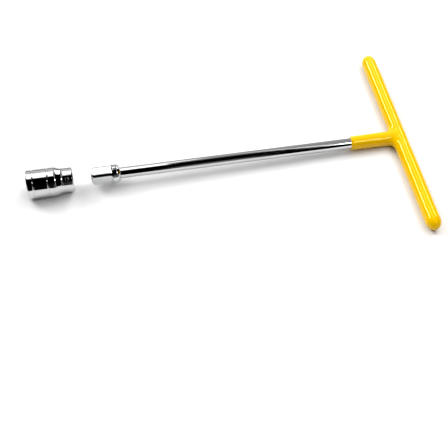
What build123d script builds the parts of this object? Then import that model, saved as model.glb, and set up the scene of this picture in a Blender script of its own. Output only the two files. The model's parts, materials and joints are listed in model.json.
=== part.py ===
from build123d import *
import os
from math import asin, atan2, degrees, hypot, sqrt

# T-handle socket wrench with its loose socket, in millimetres.
#
# Every piece is first made in the tool frame: the shaft's axis is the X axis, the T-bar lies along Y
# through the origin, and the drive points towards -X. The whole tool is then tilted a little about Y,
# so that the T-bar and the socket, which is thicker, both rest on the surface z = 0, and the socket
# stays in line with the drive that it slides onto.

# Shaft and T-bar
rod_d = 10.0              # chromed shaft
bar_d = 11.0              # steel bar inside the grip
reach = 284.0             # T-bar's axis to the drive's tip
weld_start = 2.0          # weld bead between shaft and bar: its two ends, from the bar's axis
weld_end = 8.2
weld_proud = 1.2          # how far the bead stands out of the shaft
weld_slope = 1.2          # of the bead's steep end, towards the bar

# Dipped plastic skin over the T-bar and the top of the shaft
grip_d = 14.3             # over the bar
grip_length = 214.0       # end to end of the T
grip_end_r = 6.8          # rounding of the two ends
grip_end_wall = 4.5       # skin beyond the bar's ends
stem_d = 12.8             # over the shaft, at the skin's lower edge
stem_root_d = 13.5        # over the shaft, at the T-bar
stem_length = 47.0        # T-bar's axis to the skin's lower edge
junction_r = 4.5          # rounding where the stem meets the bar
stem_edge_r = 0.8         # rounding of the skin's lower edge

# Drive head: 1/2 inch square with its collar
square_w = 12.7
stock_d = 16.8            # round stock that the four flats are cut into
flat_length = 16.5        # tip to the point where the flats begin to run out
runout_r = 3.0            # the cutter's corner, which leaves the curved run-outs
corner_d = 15.6           # across the rounded corners of the square
tip_d = 10.8              # flat end face inside the tip chamfer
head_length = 26.0        # tip to the head's rear face
head_rear_d = 12.0        # rear face, behind the cone
cone_length = 2.2
spigot_d = 8.0            # the shaft's turned-down end, pressed into the head
spigot_length = 10.5
spigot_end_gap = 0.5

# Detent ball and spring, in the flat that faces +Y
ball_d = 5.0
ball_from_tip = 9.5
ball_proud = 1.3          # how far the ball stands out of the flat
ball_clearance = 0.05     # radial, in its hole
detent_depth = 10.2       # of the hole, from the flat
wire_d = 0.6
spring_d = 4.4            # outside diameter
spring_turns = 5
spring_gap = 0.03         # between the spring's ends and what they press on

# Socket, from its square end (the mouth) to its hexagon end
socket_length = 40.5
socket_d = 26.0
neck_d = 22.0
neck_length = 10.0
shoulder_length = 5.5     # cone from the neck to the full diameter
rear_band = 6.4           # the full diameter, split into three bands by two grooves
middle_band = 12.8
edge_chamfer = 0.8
groove_r = 0.8
groove_depth = 0.35
hex_af = 19.15            # across the flats, for a 19 mm nut
hex_depth = 15.0
hex_lead = 1.2            # depth of the cone at the hexagon's mouth, which is at 45 degrees
hole_w = 12.9             # square hole
hole_depth = 18.6
hole_lead = 1.6           # depth of the cone at the square hole's mouth
hole_lead_d = 18.0
relief_d = 13.2           # drilled bore between the hexagon and the square
recess_clearance = 0.1    # between the ball and the groove that it clicks into

# Rest position of the socket, and its travel along the shaft's axis
socket_gap = 15.5         # drive's tip to the socket's mouth
seated_depth = 17.0       # how far the drive goes into the socket
socket_travel = socket_gap + seated_depth

rod_r = rod_d / 2
bar_r = bar_d / 2
grip_r = grip_d / 2
stock_r = stock_d / 2
corner_r = corner_d / 2
flat = square_w / 2
ball_r = ball_d / 2
ball_y = flat + ball_proud - ball_r
ball_x = ball_from_tip - reach
cavity_r = ball_r + ball_clearance
mouth_x = -reach - socket_gap
head_rear_x = head_length - reach

# Tilt about Y that rests both the T-bar and the near end of the socket's full diameter on z = 0:
# grip_r + contact * sin(tilt) = socket_r * cos(tilt)
socket_r = socket_d / 2
contact = neck_length + shoulder_length - mouth_x
tilt = degrees(atan2(socket_r, contact) - asin(grip_r / hypot(socket_r, contact)))


def turned(*points):
    """A solid of revolution about the X axis, from (x, radius) points of its outline."""
    outline = make_face(Polyline(*points, close=True))
    return revolve(outline, axis=Axis.X)


def rod_x(radius, start, end):
    """A cylinder along X from start to end."""
    middle = (start + end) / 2
    return Pos(middle, 0, 0) * Rot(0, 90, 0) * Cylinder(radius, abs(end - start))


def rod_y(radius, length):
    """A cylinder along Y, centred on the origin."""
    return Rot(90, 0, 0) * Cylinder(radius, length)


def make_cross_bar():
    bar = rod_y(bar_r, grip_length - 2 * grip_end_wall)
    return chamfer(bar.edges().filter_by(GeomType.CIRCLE), 1.2)


def make_shaft():
    """Round rod, coped to fit against the T-bar, with a turned-down spigot at the drive end."""
    spigot_r = spigot_d / 2
    spigot_x = head_rear_x - spigot_length
    spigot_lead = 0.6
    blank = turned(
        (0, 0),
        (0, rod_r),
        (head_rear_x, rod_r),
        (head_rear_x, spigot_r),
        (spigot_x + spigot_lead, spigot_r),
        (spigot_x, spigot_r - spigot_lead),
        (spigot_x, 0),
    )
    return blank - rod_y(bar_r, grip_length)


def make_weld_bead():
    """Ring of weld in the corner between shaft and T-bar."""
    crest_r = rod_r + weld_proud
    ring = turned(
        (-weld_start, 0),
        (-weld_start, crest_r - weld_slope / 2),
        (-weld_start - weld_slope, crest_r),
        (-bar_r, crest_r),
        (-weld_end, rod_r),
        (-weld_end, 0),
    )
    return ring - rod_y(bar_r, grip_length) - rod_x(rod_r, -2 * weld_end, 0)


def make_handle_coating(steel):
    """One seamless skin over the T-bar and the top of the shaft, solid up to the steel inside it."""
    bar = rod_y(grip_r, grip_length)
    bar = fillet(bar.edges().filter_by(GeomType.CIRCLE), grip_end_r)
    stem = turned((0, 0), (0, stem_root_d / 2), (-stem_length, stem_d / 2), (-stem_length, 0))
    joined = bar + stem
    seam = new_edges(bar, stem, combined=joined)
    skin = fillet(seam, junction_r)
    lower_edge = skin.edges().filter_by(GeomType.CIRCLE).sort_by(Axis.X)[0]
    skin = fillet(lower_edge, stem_edge_r)
    for piece in steel:
        skin -= piece
    return skin


def make_flat_cutter():
    """What the milling cutter removes above one flat, with the round run-out at the collar."""
    depth = 2 * stock_r
    end_x = flat_length + runout_r - reach
    start_x = -reach - 1
    block = Pos((start_x + end_x) / 2, 0, flat + depth / 2) * Box(end_x - start_x, 2 * stock_d, depth)
    corner = block.edges().filter_by(Axis.Y).group_by(Axis.Z)[0].sort_by(Axis.X)[-1]
    return fillet(corner, runout_r)


def make_drive_head():
    """Square drive, collar and rear cone, bored for the shaft's spigot and for the detent."""
    tip_r = tip_d / 2
    tip_chamfer = corner_r - tip_r
    head = turned(
        (-reach, 0),
        (-reach, tip_r),
        (-reach + tip_chamfer, corner_r),
        (-reach + flat_length, corner_r),
        (-reach + flat_length + runout_r, stock_r),
        (head_rear_x - cone_length, stock_r),
        (head_rear_x, head_rear_d / 2),
        (head_rear_x, 0),
    )
    for side in range(4):
        head -= Rot(90 * side, 0, 0) * make_flat_cutter()
    bore_end = head_rear_x - spigot_length - spigot_end_gap
    head -= rod_x(spigot_d / 2, bore_end, head_rear_x + 1)
    floor_y = flat - detent_depth
    drilling = Pos(ball_x, (floor_y + ball_y) / 2, 0) * rod_y(cavity_r, ball_y - floor_y)
    return head - drilling - Pos(ball_x, ball_y, 0) * Sphere(cavity_r)


def make_detent_ball():
    return Pos(ball_x, ball_y, 0) * Sphere(ball_r)


def make_detent_spring():
    """Round-wire coil between the floor of its hole and the back of the ball."""
    coil_r = (spring_d - wire_d) / 2
    wire_r = wire_d / 2
    low_y = flat - detent_depth + wire_r + spring_gap
    high_y = ball_y - sqrt((ball_r + wire_r) ** 2 - coil_r**2) - spring_gap
    length = high_y - low_y
    path = Helix(length / spring_turns, length, coil_r)
    section = Plane(path @ 0, z_dir=path % 0) * Circle(wire_r)
    coil = sweep(section, path=path, is_frenet=True)
    return Pos(ball_x, low_y, 0) * Rot(-90, 0, 0) * coil


def make_socket():
    """Socket in place off the drive, turned outside, with its hexagon, bore and square hole."""
    neck_r = neck_d / 2
    hex_end = mouth_x - socket_length
    shoulder_x = mouth_x - neck_length
    band_x = shoulder_x - shoulder_length
    body = turned(
        (mouth_x, 0),
        (mouth_x, neck_r - edge_chamfer),
        (mouth_x - edge_chamfer, neck_r),
        (shoulder_x, neck_r),
        (band_x, socket_r),
        (hex_end + edge_chamfer, socket_r),
        (hex_end, socket_r - edge_chamfer),
        (hex_end, 0),
    )
    groove_centre = socket_r + groove_r - groove_depth
    for groove_x in (band_x - rear_band, band_x - rear_band - middle_band):
        body -= Pos(groove_x, 0, 0) * Rot(0, 90, 0) * Torus(groove_centre, groove_r)

    hexagon = Plane.YZ.offset(hex_end) * RegularPolygon(hex_af / 2, 6, major_radius=False)
    body -= extrude(hexagon, hex_depth)
    lead_r = hex_af / 2 + hex_lead
    body -= turned(
        (hex_end, 0),
        (hex_end, lead_r),
        (hex_end + hex_lead, lead_r - hex_lead),
        (hex_end + hex_lead, 0),
    )
    body -= rod_x(relief_d / 2, hex_end + 1, mouth_x - hole_depth + 1)

    body -= Pos(mouth_x - hole_depth / 2, 0, 0) * Box(hole_depth, hole_w, hole_w)
    body -= turned(
        (mouth_x, 0),
        (mouth_x, hole_lead_d / 2),
        (mouth_x - hole_lead, hole_w / 2),
        (mouth_x - hole_lead, 0),
    )
    recess_x = mouth_x - seated_depth + ball_from_tip
    recess = Pos(recess_x, 0, 0) * Rot(0, 90, 0) * Torus(ball_y, ball_r + recess_clearance)
    return body - recess


def make_pieces():
    cross_bar = make_cross_bar()
    shaft = make_shaft()
    weld_bead = make_weld_bead()
    return {
        "cross_bar": cross_bar,
        "shaft": shaft,
        "weld_bead": weld_bead,
        "handle_coating": make_handle_coating([cross_bar, shaft, weld_bead]),
        "drive_head": make_drive_head(),
        "detent_ball": make_detent_ball(),
        "detent_spring": make_detent_spring(),
        "socket": make_socket(),
    }


def main():
    os.makedirs("parts", exist_ok=True)
    tilted = {name: Rot(0, tilt, 0) * piece for name, piece in make_pieces().items()}
    whole = Compound(children=[Part(piece.wrapped) for piece in tilted.values()]).bounding_box()
    origin = Vector(-whole.center().X, 0, -whole.min.Z)
    for name, piece in tilted.items():
        export_step(Pos(origin) * piece, f"parts/{name}.step")
    print("tilt", tilt, "degrees, size", whole.size)
    return origin


origin = main()
print("tool frame's origin at", origin)
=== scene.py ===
import json
import math

import bmesh
import bpy
import numpy as np
from mathutils import Matrix, Vector


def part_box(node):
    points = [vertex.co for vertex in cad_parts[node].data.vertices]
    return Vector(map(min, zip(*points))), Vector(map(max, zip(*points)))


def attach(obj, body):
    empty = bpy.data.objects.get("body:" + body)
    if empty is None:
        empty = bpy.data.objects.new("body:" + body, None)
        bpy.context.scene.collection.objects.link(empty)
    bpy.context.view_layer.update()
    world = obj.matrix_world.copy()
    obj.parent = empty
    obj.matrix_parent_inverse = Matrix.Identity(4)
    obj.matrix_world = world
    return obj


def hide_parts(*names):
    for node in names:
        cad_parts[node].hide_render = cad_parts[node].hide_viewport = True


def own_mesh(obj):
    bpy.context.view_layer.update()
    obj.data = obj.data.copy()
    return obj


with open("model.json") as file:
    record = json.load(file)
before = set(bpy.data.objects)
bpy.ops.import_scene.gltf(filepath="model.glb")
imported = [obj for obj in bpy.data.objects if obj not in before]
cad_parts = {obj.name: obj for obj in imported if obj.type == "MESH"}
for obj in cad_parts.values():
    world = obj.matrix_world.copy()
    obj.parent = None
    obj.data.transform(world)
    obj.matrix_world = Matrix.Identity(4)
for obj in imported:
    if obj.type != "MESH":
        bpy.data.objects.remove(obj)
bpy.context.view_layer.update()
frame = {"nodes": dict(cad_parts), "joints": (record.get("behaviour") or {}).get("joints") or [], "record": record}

# A T-handle socket wrench with its loose socket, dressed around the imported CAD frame.
# Shapes are worked out in the tool frame: origin in the middle of the T-bar, +X along the shaft away
# from the drive, +Y along the T-bar. Lengths are in millimetres there and in metres in Blender.

MM = 0.001
nodes = frame["nodes"]
joints = {joint["name"]: joint for joint in frame["joints"]}
mounts = {mount["name"]: Vector(mount["pos_m"]) for mount in frame["record"]["mounts"]}
shaft_axis = Vector(joints["socket_slide"]["axis"]).normalized()


def box_middle(node):
    low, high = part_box(node)
    return (Vector(low) + Vector(high)) / 2


def half_width(node):
    """Half of a node's extent along Y, in millimetres: the radius of a part that is round about the
    shaft's axis."""
    low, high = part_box(node)
    return (high[1] - low[1]) / 2 / MM


tool_origin = box_middle("cross_bar")
across = Vector((0, 1, 0))
upward = shaft_axis.cross(across)
tool_matrix = Matrix.Translation(tool_origin) @ Matrix((shaft_axis, across, upward)).transposed().to_4x4()


def along(point):
    """Distance of a point from the T-bar along the shaft's axis, in millimetres. It is negative
    towards the drive."""
    return (Vector(point) - tool_origin).dot(shaft_axis) / MM


# T-handle: steel bar and dipped skin, in millimetres
BAR_STEEL_R = 5.5
BAR_END_WALL = 4.5        # skin beyond the steel bar's ends
GRIP_R = 7.1
GRIP_DOME = 9.5           # length of the bar's ovoid ends
STEM_TIP_R = 6.4          # skin over the shaft, at its lower edge
STEM_ROOT_R = 6.75        # skin over the shaft, at the T-bar
JUNCTION_BLEND = 7.5      # softness of the corner between stem and bar
LIP_BLEND = 1.6           # softness of the skin's lower edge
DIP_WANDER = 0.25         # how much that edge runs up and down
SKIN_ALLOWANCE = 0.1      # how much thinner the skin is on average, to leave room for its waves
SKIN_VOXEL = 0.55

# Drive head
HEAD_LENGTH = 26.0
FLAT = 6.35               # half of the square's width
FLAT_LENGTH = 16.5        # from the tip
RUNOUT_R = 3.0            # arcs in which the flats end at the collar
CLEAR_OF_COLLAR = 10.0    # how far the flats are lifted past their run-outs, so that they cut nothing
TIP_R = 5.4               # flat end face
CORNER_R = 7.8            # rounded corners of the square
REAR_R = 6.0              # small end of the rear cone
REAR_RISE = 2.4           # how much the cone widens over its length
REAR_LENGTH = 2.2
REAR_STEEPNESS = 1.48     # of the cone's field, to turn it into a distance
EDGE_BLEND = 0.5
TIP_BLEND = 0.5
REAR_BLEND = 0.9
END_BLEND = 0.4

# The shaft's turned-down end, and its bore in the head
SPIGOT_R = 4.0
SPIGOT_LENGTH = 10.5
BORE_R = 4.02
BORE_LENGTH = 11.0

# Detent: hole for the ball, and spring
BALL_CLEARANCE = 0.05
DRILLED_DEPTH = 9.0       # from the ball's middle
SPRING_WIRE_R = 0.3
SPRING_TURNS = 5

# Socket, outside
NECK_R = 11.0
NECK_LENGTH = 10.0
BAND_START = 15.5         # from the mouth to the full diameter
REAR_BAND = 6.4           # the full diameter up to the first groove
MIDDLE_BAND = 12.8        # and from there to the second one
GROOVE_HALF = 0.65        # half of a groove's width
GROOVE_FLOOR = 0.45       # share of it that is flat floor
GROOVE_DEPTH = 0.35
END_CHAMFER = 0.8
MOUTH_FACE_R = 9.6        # where the two end faces begin
HEX_FACE_R = 11.4
LONG_PART = 3.0           # straight parts longer than this are held flat by extra points
HOLD = 0.15               # how far those points are from the roundings

# Socket, inside
HEX_HALF = 9.575          # half of the width across flats
HEX_DEPTH = 15.0
HEX_LEAD_R = 10.775       # 45-degree cone at the hexagon's mouth
RELIEF_R = 6.6
SQUARE_HALF = 6.45
SQUARE_DEPTH = 18.6
SQUARE_LEAD_R = 9.0       # cone at the square hole's mouth
SQUARE_LEAD_RISE = 2.55
SQUARE_LEAD_LENGTH = 1.6
SQUARE_LEAD_STEEPNESS = 1.88
RECESS_FROM_MOUTH = 7.5   # ring that the ball clicks into
RECESS_RING_R = 5.15
RECESS_R = 2.6
LEAD_BLEND = 0.2
RECESS_BLEND = 0.15
FACE_BLEND = 0.25

# Figures etched on the socket's neck
MARK_HEIGHT = 4.6
MARK_PROUD = 0.012
MARK_FROM_MOUTH = 5.6
MARK_ANGLE = 128          # degrees round the neck, with +Y at 0 and the top at 90

# Places from the frame
tip_x = along(mounts["square_drive"])
mouth_x = along(mounts["square_hole"])
hex_x = along(mounts["hexagon"])
rod_r = half_width("shaft")
stock_r = half_width("drive_head")
socket_r = half_width("socket")
grip_half = half_width("handle_coating")
head_rear_x = tip_x + HEAD_LENGTH
stem_end_x = along((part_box("handle_coating")[0][0], 0, tool_origin.z))


# ---------------------------------------------------------------- mesh helpers

def to_world(points):
    """Tool-frame millimetres to row-frame metres, for an array of points."""
    matrix = np.array(tool_matrix)
    return (np.asarray(points) * MM) @ matrix[:3, :3].T + matrix[:3, 3]


def placed(name, data):
    """A new object in the scene, from a mesh, a text, a light or a camera."""
    item = bpy.data.objects.new(name, data)
    bpy.context.scene.collection.objects.link(item)
    return item


def mesh_piece(name, points, faces, body, slot, *replaced):
    """A smooth mesh object from world-space points and faces, riding on a body in place of CAD nodes."""
    mesh = bpy.data.meshes.new(name)
    mesh.from_pydata([tuple(p) for p in points], [], faces)
    shell = bmesh.new()
    shell.from_mesh(mesh)
    bmesh.ops.recalc_face_normals(shell, faces=shell.faces)
    shell.to_mesh(mesh)
    shell.free()
    mesh.polygons.foreach_set("use_smooth", [True] * len(mesh.polygons))
    piece = placed(name, mesh)
    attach(piece, body)
    if replaced:
        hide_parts(*replaced)
    return piece


def applied(piece):
    """The mesh of an object with its modifiers applied."""
    bpy.context.view_layer.update()
    return bpy.data.meshes.new_from_object(piece.evaluated_get(bpy.context.evaluated_depsgraph_get()))


def vertex_places(mesh):
    places = np.empty(len(mesh.vertices) * 3)
    mesh.vertices.foreach_get("co", places)
    return places.reshape(-1, 3)


def even_angles(count):
    return np.arange(count) * 2 * math.pi / count


def stations(*spans):
    """Places along an axis, from spans of (first, last, count)."""
    return np.concatenate([np.linspace(*span) for span in spans])


def ring(x, radii, angles):
    """A closed ring round the shaft's axis at station x. Angle 0 is +Y and 90 degrees is up."""
    radii = np.broadcast_to(radii, angles.shape)
    return np.stack([np.full(angles.shape, x), radii * np.cos(angles), radii * np.sin(angles)], axis=1)


def skin_faces(ring_count, size, closed):
    """Quads between consecutive rings of the same size, wrapping round if the rings make a closed tube."""
    faces = []
    for i in range(ring_count if closed else ring_count - 1):
        a, b = i * size, ((i + 1) % ring_count) * size
        for j in range(size):
            k = (j + 1) % size
            faces.append((a + j, a + k, b + k, b + j))
    return faces


def capped(rings):
    """Points and faces of a solid whose first and last rings are closed with a fan to their middles."""
    size = len(rings[0])
    points = np.concatenate(rings + [rings[0].mean(axis=0)[None], rings[-1].mean(axis=0)[None]])
    faces = skin_faces(len(rings), size, closed=False)
    last = (len(rings) - 1) * size
    start_middle, end_middle = len(rings) * size, len(rings) * size + 1
    for j in range(size):
        k = (j + 1) % size
        faces.append((start_middle, k, j))
        faces.append((end_middle, last + j, last + k))
    return points, faces


def rounded_outline(corners, hold=None):
    """Points of an outline with its inner corners rounded. Each corner is (x, radius, rounding).
    With a hold, a long straight part gets a point that far from each rounding, so that it is shaded
    flat between them."""
    arc_steps = 5
    fit = 0.45                # share of a straight part that one rounding may take up
    outline = [np.array(corners[0][:2], float)]
    for before, corner, after in zip(corners, corners[1:], corners[2:]):
        middle = np.array(corner[:2], float)
        back = np.array(before[:2], float) - middle
        ahead = np.array(after[:2], float) - middle
        back_length, ahead_length = np.linalg.norm(back), np.linalg.norm(ahead)
        cut = min(corner[2], fit * back_length, fit * ahead_length)
        if cut <= 0:
            outline.append(middle)
            continue
        start = middle + back / back_length * cut
        end = middle + ahead / ahead_length * cut
        if hold and back_length > LONG_PART:
            outline.append(start + back / back_length * hold)
        for t in np.linspace(0, 1, arc_steps):
            outline.append((1 - t) ** 2 * start + 2 * t * (1 - t) * middle + t**2 * end)
        if hold and ahead_length > LONG_PART:
            outline.append(end + ahead / ahead_length * hold)
    outline.append(np.array(corners[-1][:2], float))
    return outline


def smooth_max(a, b, blend):
    """The larger of two fields, rounded where they meet."""
    h = np.clip(0.5 + 0.5 * (a - b) / blend, 0, 1)
    return b + (a - b) * h + blend * h * (1 - h)


def smooth_min(a, b, blend):
    return -smooth_max(-a, -b, blend)


def radius_where(field, x, angles, low, high):
    """Radius at which a field of (x, y, z) passes from inside to outside, for each angle, by halving."""
    halvings = 30
    near, far = np.full(angles.shape, low), np.full(angles.shape, high)
    for _ in range(halvings):
        middle = (near + far) / 2
        inside = field(x, middle * np.cos(angles), middle * np.sin(angles)) < 0
        near, far = np.where(inside, middle, near), np.where(inside, far, middle)
    return near


def drawn_onto(field, points):
    """Moves points along a field's slope until they lie where the field is zero."""
    rounds, pace = 12, 0.8
    probe = 0.02              # distance over which the slope is measured
    least_steepness = 0.2
    for _ in range(rounds):
        value = field(points)
        slope = np.stack([
            (field(points + probe * e) - field(points - probe * e)) / (2 * probe) for e in np.eye(3)
        ], axis=1)
        steepness = np.maximum((slope**2).sum(axis=1), least_steepness)
        points = points - pace * slope * (value / steepness)[:, None]
    return points


def rods(name, *pieces):
    """A mesh of round rods in tool-frame millimetres. Each is (axis, start, end, radius)."""
    shell = bmesh.new()
    for axis, start, end, radius in pieces:
        turn = Matrix.Rotation(math.pi / 2, 4, "Y" if axis == "X" else "X")
        middle = (start + end) / 2
        shift = Matrix.Translation((middle, 0, 0) if axis == "X" else (0, middle, 0))
        bmesh.ops.create_cone(shell, cap_ends=True, segments=96, radius1=radius, radius2=radius,
                              depth=end - start, matrix=shift @ turn)
    mesh = bpy.data.meshes.new(name)
    shell.to_mesh(mesh)
    shell.free()
    return placed(name, mesh)


def cut_out(piece, cutter, name, solver):
    """The mesh of a piece without what lies inside the cutter, which is removed."""
    cut = piece.modifiers.new(name, "BOOLEAN")
    cut.operation = "DIFFERENCE"
    cut.solver = solver
    cut.object = cutter
    mesh = applied(piece)
    piece.modifiers.clear()
    bpy.data.objects.remove(cutter)
    return mesh


# ---------------------------------------------------------------- pieces

def make_shaft():
    """The round rod from the T-bar to the drive head, with its turned-down end inside the head."""
    angles = even_angles(128)
    spigot_x = head_rear_x - SPIGOT_LENGTH
    corners = [
        (-BAR_STEEL_R, rod_r, 0),
        (stem_end_x, rod_r, 0),
        (head_rear_x, rod_r, 0.1),
        (head_rear_x, SPIGOT_R, 0.1),
        (spigot_x, SPIGOT_R, 0.6),
        (spigot_x, 1.0, 0),
    ]
    rings = [ring(x, r, angles) for x, r in rounded_outline(corners)]
    points, faces = capped(rings)
    return mesh_piece("shaft_rod", to_world(points), faces, "wrench", "chrome_plate", "shaft")


def drive_field(x, y, z):
    """Below zero inside the drive head: round stock with chamfers, cut by four flats that run out in
    arcs."""
    radius = np.hypot(y, z)
    past_flats = np.clip((x - tip_x - FLAT_LENGTH) / RUNOUT_R, 0, 1)
    stock = radius - CORNER_R - (stock_r - CORNER_R) * past_flats
    tip_chamfer = (radius - TIP_R - (x - tip_x)) / math.sqrt(2)
    rear_cone = (radius - REAR_R + (x - head_rear_x) * REAR_RISE / REAR_LENGTH) / REAR_STEEPNESS
    turned = smooth_max(smooth_max(stock, tip_chamfer, TIP_BLEND), rear_cone, REAR_BLEND)
    into_runout = np.clip(x - (tip_x + FLAT_LENGTH), 0, RUNOUT_R)
    flat_height = FLAT + RUNOUT_R - math.sqrt(RUNOUT_R**2 - into_runout**2)
    if into_runout >= RUNOUT_R:
        flat_height += CLEAR_OF_COLLAR
    flats = np.maximum(abs(y), abs(z)) - flat_height
    body = smooth_max(turned, flats, EDGE_BLEND)
    ends = max(tip_x - x, x - head_rear_x)
    return smooth_max(body, np.full(radius.shape, ends), END_BLEND)


def make_drive_head():
    """Square drive, its collar and rear cone, with the detent's hole cut in the flat that faces +Y."""
    even = even_angles(288)
    corner_crowding = 0.6
    angles = even + corner_crowding / 4 * np.sin(4 * even)
    from_tip = stations(
        (0.01, 0.5, 6),                                              # edge of the end face
        (0.7, 4.0, 16),                                              # tip chamfer
        (4.8, FLAT_LENGTH - 0.3, 14),                                # square
        (FLAT_LENGTH, FLAT_LENGTH + RUNOUT_R - 0.01, 22),            # run-outs
        (FLAT_LENGTH + RUNOUT_R + 0.1, 23.2, 6),                     # collar
        (23.4, 25.5, 10),                                            # rear cone
        (25.6, 25.99, 5),                                            # edge of the rear face
    )
    least_r, most_r = 1.0, 12.0
    outer = [
        ring(tip_x + d, radius_where(drive_field, tip_x + d, angles, least_r, most_r), angles)
        for d in from_tip
    ]
    tip_face = [ring(tip_x, r, angles) for r in (2.0, 4.2)]
    rear_face = [ring(head_rear_x, r, angles) for r in (5.3, rod_r + 0.02)]
    bore = [ring(x, BORE_R, angles) for x in (head_rear_x, head_rear_x - BORE_LENGTH)]
    points, faces = capped(tip_face + outer + rear_face + bore)
    head = mesh_piece("drive_head_body", to_world(points), faces, "wrench", "chrome_plate", "drive_head")
    cut_detent_hole(head)
    return head


def cut_detent_hole(head):
    """Cuts the hole that the detent ball sits in, a hair wider than the ball: half a sphere in front
    and a drilled cylinder behind."""
    low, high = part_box("detent_ball")
    cavity_r = (high[0] - low[0]) / 2 + BALL_CLEARANCE * MM
    mesh = bpy.data.meshes.new("detent_cutter")
    shell = bmesh.new()
    bmesh.ops.create_uvsphere(shell, u_segments=64, v_segments=32, radius=cavity_r)
    just_below_middle = -1e-6
    for vert in shell.verts:
        if vert.co.z < just_below_middle:
            vert.co.z = -DRILLED_DEPTH * MM
    shell.to_mesh(mesh)
    shell.free()
    cutter = placed("detent_cutter", mesh)
    outward = Matrix.Rotation(-math.pi / 2, 4, "X")
    cutter.matrix_world = Matrix.Translation(box_middle("detent_ball")) @ outward
    head.data = cut_out(head, cutter, "detent_hole", "EXACT")


def socket_void(x, y, z):
    """Below zero in the socket's hollow: hexagon, relief bore, square hole, lead-in cones and the
    ball's groove."""
    radius = np.hypot(y, z)
    sides = [abs(y * math.sin(a) + z * math.cos(a)) for a in (0, math.pi / 3, -math.pi / 3)]
    hexagon = np.maximum(np.maximum(sides[0], sides[1]), sides[2]) - HEX_HALF
    square = np.maximum(abs(y), abs(z)) - SQUARE_HALF
    recess = np.hypot(x - (mouth_x - RECESS_FROM_MOUTH), radius - RECESS_RING_R) - RECESS_R
    in_hex, in_mouth = x - hex_x, mouth_x - x
    void = radius - RELIEF_R
    if in_hex < HEX_DEPTH:
        void = np.minimum(void, hexagon)
        void = smooth_min(void, (radius - HEX_LEAD_R + in_hex) / math.sqrt(2), LEAD_BLEND)
    if in_mouth < SQUARE_DEPTH:
        lead = radius - SQUARE_LEAD_R + in_mouth * SQUARE_LEAD_RISE / SQUARE_LEAD_LENGTH
        void = smooth_min(np.minimum(void, square), recess, RECESS_BLEND)
        void = smooth_min(void, lead / SQUARE_LEAD_STEEPNESS, LEAD_BLEND)
    return void


def socket_inner(x, angles):
    """The hollow's radius at station x, flared a little where it meets the two end faces."""
    def field(at, y, z):
        past_end = max(hex_x - at, at - mouth_x)
        return -smooth_max(-socket_void(at, y, z), np.full(y.shape, past_end), FACE_BLEND)
    least_r, most_r = 2.0, 12.6
    return radius_where(field, x, angles, least_r, most_r)


def make_socket():
    """The socket: lathed outside with two grooves, and a hollow that is hexagonal, round, then square."""
    angles = even_angles(360)
    neck_x, band_x = mouth_x - NECK_LENGTH, mouth_x - BAND_START
    corners = [
        (mouth_x, MOUTH_FACE_R, 0),
        (mouth_x, NECK_R - END_CHAMFER, 0.2),
        (mouth_x - END_CHAMFER, NECK_R, 0.3),
        (neck_x, NECK_R, 1.2),
        (band_x, socket_r, 1.0),
    ]
    for groove_x in (band_x - REAR_BAND, band_x - REAR_BAND - MIDDLE_BAND):
        corners += [
            (groove_x + GROOVE_HALF, socket_r, 0.12),
            (groove_x + GROOVE_HALF * GROOVE_FLOOR, socket_r - GROOVE_DEPTH, 0.25),
            (groove_x - GROOVE_HALF * GROOVE_FLOOR, socket_r - GROOVE_DEPTH, 0.25),
            (groove_x - GROOVE_HALF, socket_r, 0.12),
        ]
    corners += [
        (hex_x + END_CHAMFER, socket_r, 0.3),
        (hex_x, socket_r - END_CHAMFER, 0.2),
        (hex_x, HEX_FACE_R, 0),
    ]
    rings = [ring(x, r, angles) for x, r in rounded_outline(corners, hold=HOLD)]
    from_hex = stations(
        (0.02, 0.5, 5), (0.7, 2.0, 8),                               # lead-in of the hexagon
        (3.0, 14.9, 8),                                              # hexagon
        (15.0, 21.85, 4),                                            # relief bore
        (21.95, 29.9, 10),                                           # square hole
        (30.2, 35.9, 22),                                            # ring for the ball
        (36.4, 38.6, 4),                                             # square hole
        (38.8, 39.9, 7), (40.0, 40.48, 5),                           # lead-in of the mouth
    )
    rings += [ring(hex_x + d, socket_inner(hex_x + d, angles), angles) for d in from_hex]
    faces = skin_faces(len(rings), len(angles), closed=True)
    points = to_world(np.concatenate(rings))
    return mesh_piece("socket_body", points, faces, "socket", "chrome_plate", "socket")


def grip_field(p):
    """Below zero inside the dipped skin, for an array of tool-frame points."""
    x, y, z = p[:, 0], p[:, 1], p[:, 2]
    around_bar = np.hypot(x, z)
    around_stem = np.hypot(y, z)

    # A dip coat is never quite even: slow waves, each a few hundredths of a millimetre high
    sag = 0.05 * np.sin(y / 5.9 + 1.3) + 0.04 * np.sin(y / 9.7) + 0.03 * np.sin(x / 4.1 + z / 6.0)
    sag += 0.025 * np.sin(y / 2.9 + 2.0 * np.arctan2(z, x))
    past_dome = np.maximum(abs(y) - (grip_half - GRIP_DOME), 0)
    bar = np.hypot(around_bar, past_dome * GRIP_R / GRIP_DOME) - GRIP_R
    taper = np.clip(x / stem_end_x, 0, 1)
    stem_r = STEM_ROOT_R + (STEM_TIP_R - STEM_ROOT_R) * taper
    dip_line = stem_end_x + DIP_WANDER * (1 + np.sin(np.arctan2(z, y) + 0.6))
    stem = smooth_max(around_stem - stem_r, dip_line - x, LIP_BLEND)

    # The corner is soft at the bar's two sides and vanishes on top, where bar and stem run together
    alike = z * z / np.maximum(around_bar * around_stem, 1e-6)
    blend = np.maximum(JUNCTION_BLEND * (1 - np.clip(alike, 0, 1)), 0.05)
    return smooth_min(bar, np.maximum(stem, x), blend) - sag + SKIN_ALLOWANCE


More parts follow.
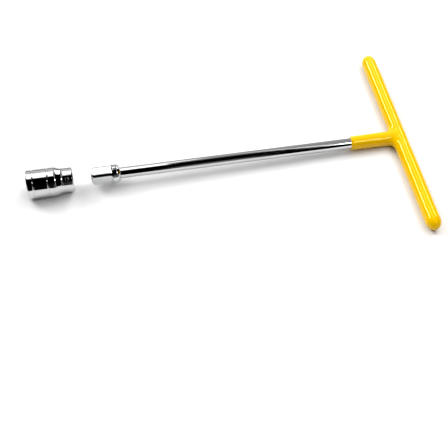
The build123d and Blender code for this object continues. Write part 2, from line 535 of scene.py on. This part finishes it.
def make_grip():
    """The yellow skin: two rods remeshed into one, drawn onto the dipped shape, less the steel inside."""
    draft_inset, overrun = 1.0, 5.0
    draft_end, steel_end = grip_half - draft_inset, grip_half - BAR_END_WALL
    draft = rods("grip_draft", ("Y", -draft_end, draft_end, GRIP_R), ("X", stem_end_x, 0, STEM_ROOT_R))
    remesh = draft.modifiers.new("remesh", "REMESH")
    remesh.mode = "VOXEL"
    remesh.voxel_size = SKIN_VOXEL
    mesh = applied(draft)
    mesh.vertices.foreach_set("co", drawn_onto(grip_field, vertex_places(mesh)).ravel())
    draft.modifiers.clear()
    draft.data = mesh
    bar = ("Y", -steel_end, steel_end, BAR_STEEL_R)
    steel = rods("steel_cutter", bar, ("X", stem_end_x - overrun, 0, rod_r))
    skin = cut_out(draft, steel, "steel", "MANIFOLD")
    bpy.data.objects.remove(draft)
    points = to_world(vertex_places(skin))
    faces = [tuple(p.vertices) for p in skin.polygons]
    grip = mesh_piece("grip_skin", points, faces, "wrench", "yellow_dip", "handle_coating")
    grip.data.set_sharp_from_angle(angle=math.radians(50))
    return grip


def make_spring():
    """Round-wire coil behind the detent ball, wound from one end of the spring's box to the other."""
    low, high = (Vector(corner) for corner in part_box("detent_spring"))
    wire_r = SPRING_WIRE_R * MM
    coil_r = (high.x - low.x) / 2 - wire_r
    middle = box_middle("detent_spring")
    start_y, end_y = low.y + wire_r, high.y - wire_r
    steps_per_turn = 40
    progress = np.linspace(0, 1, SPRING_TURNS * steps_per_turn + 1)
    around = 2 * math.pi * SPRING_TURNS * progress
    path = np.stack([
        middle.x + coil_r * np.cos(around),
        start_y + (end_y - start_y) * progress,
        middle.z + coil_r * np.sin(around),
    ], axis=1)
    outward = np.stack([np.cos(around), 0 * around, np.sin(around)], axis=1)
    lengthwise = np.array([0.0, 1.0, 0.0])
    section = even_angles(14)
    rings = [
        centre + wire_r * (np.outer(np.cos(section), out) + np.outer(np.sin(section), lengthwise))
        for centre, out in zip(path, outward)
    ]
    points, faces = capped(rings)
    spring = mesh_piece("spring_coil", points, faces, "wrench", "spring_steel", "detent_spring")
    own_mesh(spring)
    return spring


def make_size_mark():
    """The socket's size, etched on its neck: flat figures wrapped round it, a hair proud of the chrome."""
    letters = bpy.data.curves.new("size_mark", "FONT")
    letters.body = "19"
    letters.align_x = "CENTER"
    letters.align_y = "CENTER"
    letters.size = MARK_HEIGHT
    text = placed("size_text", letters)
    flat = applied(text)
    bpy.data.objects.remove(text)
    shell = bmesh.new()
    shell.from_mesh(flat)
    bmesh.ops.triangulate(shell, faces=shell.faces)
    bmesh.ops.subdivide_edges(shell, edges=shell.edges, cuts=3, use_grid_fill=True)
    places = [(v.co.x, v.co.y) for v in shell.verts]
    faces = [tuple(v.index for v in f.verts) for f in shell.faces]
    shell.free()
    middle_x, radius = mouth_x - MARK_FROM_MOUTH, NECK_R + MARK_PROUD
    points = []
    for right, up in places:
        angle = math.radians(MARK_ANGLE) - up / NECK_R
        points.append((middle_x + right, radius * math.cos(angle), radius * math.sin(angle)))
    return mesh_piece("size_mark", to_world(points), faces, "socket", "chrome_plate")


# ---------------------------------------------------------------- materials

class Graph:
    """Small helper that adds shader nodes to a tree and links them."""

    def __init__(self, owner):
        owner.use_nodes = True
        self.tree = owner.node_tree

    def add(self, kind, **settings):
        node = self.tree.nodes.new(kind)
        for key, value in settings.items():
            setattr(node, key, value)
        return node

    def link(self, source, target):
        self.tree.links.new(source, target)


class Finish(Graph):
    """A material's graph."""

    def __init__(self, name):
        self.material = bpy.data.materials.new(name)
        super().__init__(self.material)
        self.shader = self.tree.nodes["Principled BSDF"]

    def feed(self, socket, source):
        """Feeds one of the shader's sockets from a node."""
        self.link(source, self.shader.inputs[socket])

    def place(self, scale):
        """Object coordinates in metres, stretched by a scale for each axis."""
        coords = self.add("ShaderNodeTexCoord")
        mapping = self.add("ShaderNodeMapping")
        mapping.inputs["Scale"].default_value = scale
        self.link(coords.outputs["Object"], mapping.inputs["Vector"])
        return mapping.outputs["Vector"]

    def noise(self, scale, detail=3.0):
        noise = self.add("ShaderNodeTexNoise")
        noise.inputs["Scale"].default_value = 1.0
        noise.inputs["Detail"].default_value = detail
        noise.inputs["Roughness"].default_value = 0.5
        self.link(self.place(scale), noise.inputs["Vector"])
        return noise.outputs["Fac"]

    def spread(self, value, low, high, from_low=0.3, from_high=0.7):
        """Maps a value's middle range onto low to high."""
        node = self.add("ShaderNodeMapRange")
        node.inputs["From Min"].default_value = from_low
        node.inputs["From Max"].default_value = from_high
        node.inputs["To Min"].default_value = low
        node.inputs["To Max"].default_value = high
        self.link(value, node.inputs["Value"])
        return node.outputs["Result"]

    def mottle(self, value, first, second):
        """A colour between two others, by the middle range of a value."""
        factor, colour_a, colour_b, result = 0, 6, 7, 2
        node = self.add("ShaderNodeMix", data_type="RGBA")
        node.inputs[colour_a].default_value = (*first, 1)
        node.inputs[colour_b].default_value = (*second, 1)
        self.link(self.spread(value, 0, 1), node.inputs[factor])
        return node.outputs[result]

    def bump(self, height, strength, depth, onto=None):
        """A bumpy normal. The depth is in millimetres."""
        node = self.add("ShaderNodeBump")
        node.inputs["Strength"].default_value = strength
        node.inputs["Distance"].default_value = depth * MM
        self.link(height, node.inputs["Height"])
        if onto is not None:
            self.link(onto, node.inputs["Normal"])
        return node.outputs["Normal"]


def make_chrome(name, scratch_scale, roughness):
    """Polished chrome plate: faint polishing lines, slight waviness and patches that are less bright."""
    chrome = Finish(name)
    patches = chrome.noise((60, 60, 60), detail=4)
    chrome.feed("Base Color", chrome.mottle(patches, (0.53, 0.535, 0.54), (0.58, 0.585, 0.585)))
    chrome.shader.inputs["Metallic"].default_value = 1.0
    lines = chrome.noise(scratch_scale, detail=2)
    chrome.feed("Roughness", chrome.spread(lines, *roughness))
    waves = chrome.bump(chrome.noise((110, 160, 160), detail=1), 0.25, 0.1)
    chrome.feed("Normal", chrome.bump(lines, 0.05, 0.02, waves))
    return chrome.material


def make_dip():
    """Glossy dipped PVC: warm yellow, a little deeper in patches, with a soft unevenness of the gloss."""
    dip = Finish("yellow_dip_pvc")
    cloud = dip.noise((35, 22, 35), detail=3)
    dip.feed("Base Color", dip.mottle(cloud, (0.73, 0.42, 0.0), (0.79, 0.455, 0.0)))
    dip.feed("Roughness", dip.spread(dip.noise((150, 90, 150), detail=4), 0.03, 0.07))
    slow = dip.bump(dip.noise((140, 70, 140), detail=1), 0.15, 0.1)
    dip.feed("Normal", dip.bump(dip.noise((900, 900, 900), detail=2), 0.04, 0.02, slow))
    dip.shader.inputs["IOR"].default_value = 1.53
    dip.shader.inputs["Specular IOR Level"].default_value = 0.4
    dip.shader.inputs["Specular Tint"].default_value = (1.0, 0.9, 0.4, 1)
    return dip.material


def make_steel(name, base, scale):
    """Bare drawn steel with fine lines."""
    steel = Finish(name)
    lines = steel.noise(scale, detail=3)
    dark = tuple(0.7 * c for c in base)
    steel.feed("Base Color", steel.mottle(lines, dark, base))
    steel.shader.inputs["Metallic"].default_value = 1.0
    steel.feed("Roughness", steel.spread(lines, 0.25, 0.5))
    steel.feed("Normal", steel.bump(lines, 0.2, 0.05))
    return steel.material


def coat(piece, material):
    piece.data.materials.clear()
    piece.data.materials.append(material)


# ---------------------------------------------------------------- studio

def make_floor():
    """A sheet of pale paper that fades out at a distance, in metres."""
    size = 3.0
    fade_start, fade_end = 0.45, 1.05
    corners = [(-size, -size, 0), (size, -size, 0), (size, size, 0), (-size, size, 0)]
    mesh = bpy.data.meshes.new("floor")
    mesh.from_pydata(corners, [], [(0, 1, 2, 3)])
    floor = placed("floor", mesh)
    paper = Finish("floor_paper")
    paper.feed("Base Color", paper.mottle(paper.noise((8, 8, 8)), (0.76, 0.76, 0.76), (0.78, 0.78, 0.78)))
    paper.shader.inputs["Roughness"].default_value = 0.9
    paper.shader.inputs["Specular IOR Level"].default_value = 0.0
    distance = paper.add("ShaderNodeVectorMath", operation="LENGTH")
    paper.link(paper.place((1, 1, 1)), distance.inputs[0])
    paper.feed("Alpha", paper.spread(distance.outputs["Value"], 1, 0, fade_start, fade_end))
    mesh.materials.append(paper.material)


class Room(Graph):
    """The studio's walls and lamps, as brightness over directions. Three values describe a direction:
    sideways, its X part, and two angles over the room in degrees, both 90 overhead: turn, from the
    front horizon at 0 to the back horizon at 180, and roll, from the right horizon at 0 to the left
    horizon at 180."""

    def __init__(self):
        world = bpy.data.worlds.new("studio")
        bpy.context.scene.world = world
        super().__init__(world)
        self.tree.nodes.clear()
        parts = self.add("ShaderNodeSeparateXYZ")
        self.link(self.add("ShaderNodeTexCoord").outputs["Generated"], parts.inputs[0])
        self.sideways, depth, height = parts.outputs
        forward = self.compute("MULTIPLY", depth, -1.0)
        self.turn = self.compute("DEGREES", self.compute("ARCTAN2", height, forward))
        self.roll = self.compute("DEGREES", self.compute("ARCTAN2", height, self.sideways))
        self.total = None

    def compute(self, operation, *values):
        node = self.add("ShaderNodeMath", operation=operation)
        for socket, value in zip(node.inputs, values):
            if isinstance(value, (int, float)):
                socket.default_value = value
            else:
                self.link(value, socket)
        return node.outputs[0]

    def step(self, value, start, end):
        """0 where a value is at start and 1 where it is at end, smoothly, whichever is larger."""
        node = self.add("ShaderNodeMapRange", interpolation_type="SMOOTHSTEP")
        node.inputs["From Min"].default_value = start
        node.inputs["From Max"].default_value = end
        self.link(value, node.inputs["Value"])
        return node.outputs["Result"]

    def window(self, value, low, high, soft):
        """1 where a value lies between low and high, with soft edges of a given width."""
        rise = self.step(value, low - soft / 2, low + soft / 2)
        fall = self.step(value, high - soft / 2, high + soft / 2)
        return self.compute("SUBTRACT", rise, fall)

    def shine(self, brightness, *windows):
        """Adds light where all the windows are open."""
        value = windows[0]
        for window in windows[1:]:
            value = self.compute("MULTIPLY", value, window)
        value = self.compute("MULTIPLY", value, brightness)
        self.total = value if self.total is None else self.compute("ADD", self.total, value)

    def finish(self):
        """Shows a plain white backdrop to the camera and the room to everything else."""
        room = self.add("ShaderNodeBackground")
        self.link(self.total, room.inputs["Color"])
        plain = self.add("ShaderNodeBackground")
        plain.inputs["Color"].default_value = (1, 1, 1, 1)
        choose = self.add("ShaderNodeMixShader")
        self.link(self.add("ShaderNodeLightPath").outputs["Is Camera Ray"], choose.inputs[0])
        self.link(room.outputs[0], choose.inputs[1])
        self.link(plain.outputs[0], choose.inputs[2])
        self.link(choose.outputs[0], self.add("ShaderNodeOutputWorld").inputs["Surface"])


def make_room():
    """Dark in front, pale behind, with strips and panels for the chrome and the skin to reflect."""
    room = Room()
    turn, roll, sideways = room.turn, room.roll, room.sideways

    # Pale wall behind, brighter on the left
    wall = room.window(sideways, -0.4, 0.36, 0.1)
    room.shine(0.55, room.step(turn, 90, 140), room.step(turn, 180, 172), wall)
    left_wall = room.window(sideways, -0.4, 0.06, 0.1)
    room.shine(0.35, room.step(turn, 95, 150), room.step(turn, 170, 160), left_wall)

    # Faint glow on the front horizon, for the lower side of the shaft
    room.shine(0.30, room.window(turn, -10, 24, 34), room.window(sideways, 0.0, 0.14, 0.08))

    # Panel for the tops of socket and drive, and strip for the shaft next to the drive
    room.shine(2.4, room.window(turn, 94, 134, 6), room.window(sideways, -0.1, 0.0, 0.02))
    room.shine(1.6, room.window(turn, 126, 137, 4), room.window(sideways, 0.0, 0.06, 0.02))

    # Slanting strip for the rest of the shaft: in turn, it falls by so many degrees per unit sideways
    slant = 514.0
    lean = room.compute("MULTIPLY_ADD", sideways, slant, turn)
    room.shine(1.2, room.window(lean, 191, 214, 14), room.step(sideways, 0.08, 0.25))
    room.shine(0.5, room.window(turn, 84, 108, 12), room.window(sideways, 0.22, 0.34, 0.05))

    # Two strips along the T-bar, for its left and right highlights, and one for the stem's
    above_bar = room.window(turn, 118, 152, 8)
    room.shine(27.0, room.window(roll, 133, 142, 2), above_bar)
    room.shine(13.0, room.window(roll, 45, 54, 3), above_bar)
    room.shine(16.0, room.window(turn, 55, 67, 4), room.window(sideways, 0.28, 0.37, 0.04))
    room.finish()


def facing(direction):
    """The turn that points a light or a camera in a direction, with its upper side up."""
    return direction.to_track_quat("-Z", "Y")


def add_softbox(name, place, size, power, aim=(0, 0, 0)):
    """A rectangular studio light that faces a point of the table, in metres and watts."""
    lamp = bpy.data.lights.new(name, "AREA")
    lamp.shape = "RECTANGLE"
    lamp.size, lamp.size_y = size
    lamp.energy = power
    light = placed(name, lamp)
    light.location = place
    light.rotation_mode = "QUATERNION"
    light.rotation_quaternion = facing(Vector(aim) - Vector(place))
    light.visible_camera = False
    light.visible_glossy = False


def make_camera():
    """Looks down on the tool from the front, a little from the socket's side."""
    azimuth, elevation, roll = math.radians(-11.74), math.radians(53.49), math.radians(0.98)
    distance = 0.8015
    aim = Vector((-0.01015, -0.0634, 0.0))
    level = math.cos(elevation)
    back = Vector((math.sin(azimuth) * level, -math.cos(azimuth) * level, math.sin(elevation)))
    data = bpy.data.cameras.new("camera")
    data.sensor_width = 36.0
    data.lens = 74.33
    data.clip_start, data.clip_end = 0.01, 20.0
    camera = placed("camera", data)
    camera.location = aim + back * distance
    camera.rotation_mode = "QUATERNION"
    camera.rotation_quaternion = facing(-back) @ Matrix.Rotation(roll, 4, "Z").to_quaternion()
    bpy.context.scene.camera = camera


make_camera()
shaft = make_shaft()
head = make_drive_head()
socket = make_socket()
grip = make_grip()
size_mark = make_size_mark()
spring = make_spring()

chrome_turned = make_chrome("chrome_turned", (3000, 60, 60), (0.03, 0.09))
bare_steel = make_steel("bare_steel_drawn", (0.45, 0.44, 0.43), (400, 60, 400))
coat(shaft, make_chrome("chrome_shaft", (40, 2500, 2500), (0.03, 0.09)))
coat(head, chrome_turned)
coat(socket, chrome_turned)
coat(grip, make_dip())
coat(size_mark, make_steel("etched_figures", (0.55, 0.55, 0.55), (900, 900, 900)))
coat(nodes["cross_bar"], bare_steel)
coat(nodes["weld_bead"], bare_steel)
coat(spring, make_steel("spring_wire", (0.4, 0.4, 0.4), (900, 900, 900)))
coat(nodes["detent_ball"], make_chrome("ball_polish", (900, 900, 900), (0.02, 0.06)))

make_floor()
make_room()
add_softbox("key_right", (0.6, 0.25, 0.8), (0.5, 0.5), 3.9, aim=(0.12, 0, 0))
add_softbox("key_left", (-0.55, 0.4, 0.8), (0.5, 0.5), 2.4, aim=(-0.12, 0, 0))
add_softbox("overhead", (0.0, -0.15, 1.4), (2.4, 1.4), 15.5)
bpy.context.scene.view_settings.view_transform = "Standard"
